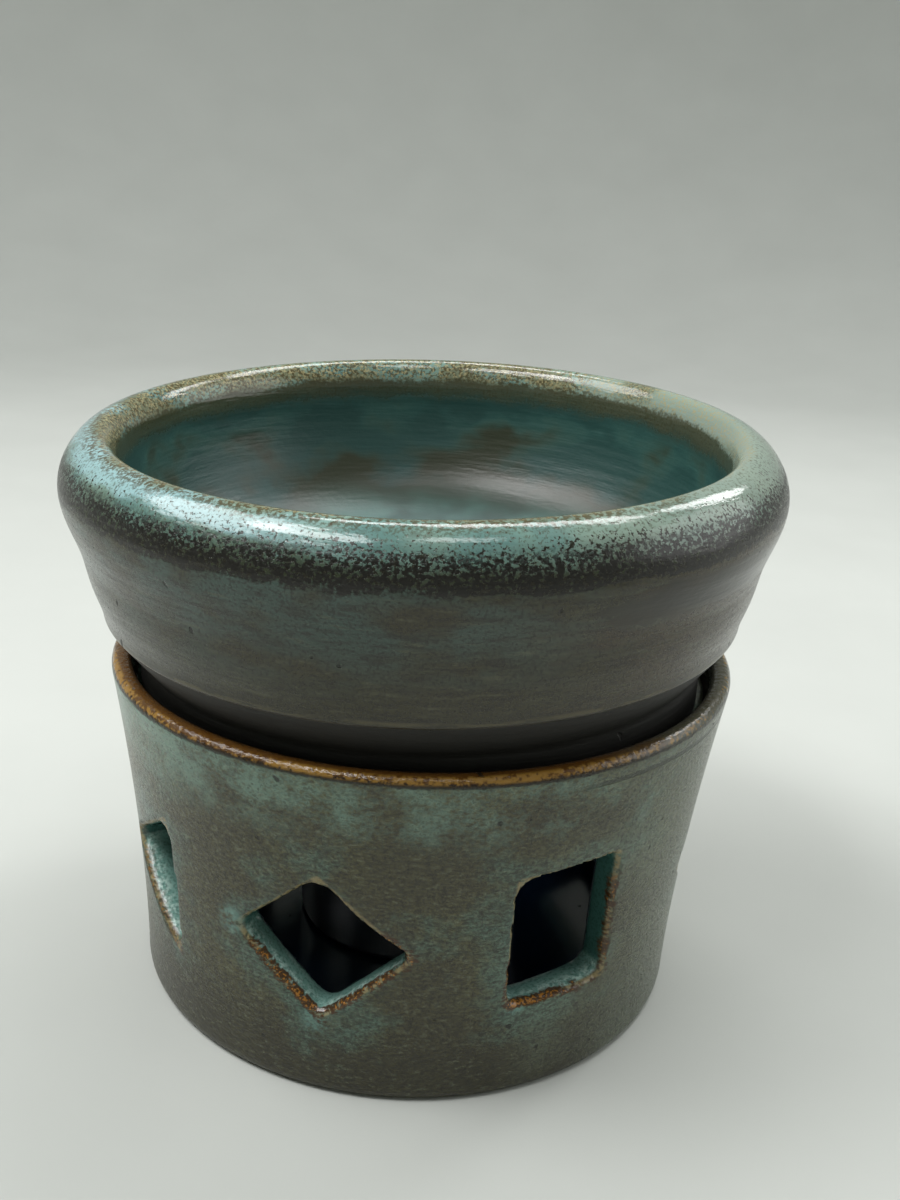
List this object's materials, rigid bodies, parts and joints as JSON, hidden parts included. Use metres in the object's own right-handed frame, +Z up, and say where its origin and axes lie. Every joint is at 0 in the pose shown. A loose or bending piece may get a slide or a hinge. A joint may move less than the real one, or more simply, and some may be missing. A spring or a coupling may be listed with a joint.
{
  "type": "essential oil burner",
  "caption": "Round stoneware oil burner: a thick bowl for water and oil seated in a pierced flared stand that holds a tealight.",
  "frame": {"origin": "centre of the stand's underside", "axes": "+Z up along the axis of both pots, the front towards -Y"},
  "size_m": [0.1099, 0.1099, 0.0928],
  "materials": {
    "stand_glaze": "reactive stoneware glaze, satin to glossy, grey-brown with teal",
    "bowl_glaze": "reactive stoneware glaze, glossy, teal breaking to olive and iron brown",
    "cup_foil": "pressed bright foil",
    "wax": "poured paraffin wax, waxy satin",
    "tinplate": "tinned steel",
    "cotton": "braided cotton, waxed"
  },
  "bodies": {
    "stand": {"stand": "stand_glaze"},
    "bowl": {"bowl": "bowl_glaze"},
    "tealight": {"tealight_cup": "cup_foil", "tealight_wax": "wax", "wick_sustainer": "tinplate", "wick": "cotton"}
  },
  "joints": [
    {"name": "bowl_lift", "type": "slide", "parent": "stand", "child": "bowl", "axis": [0, 0, 1], "range_m": [0, 0.1]},
    {"name": "tealight_lift", "type": "slide", "parent": "stand", "child": "tealight", "axis": [0, 0, 1], "range_m": [0, 0.06]}
  ],
  "couplings": [
    {"joint": "tealight_lift", "follows": "bowl_lift", "ratio": 0.6}
  ]
}
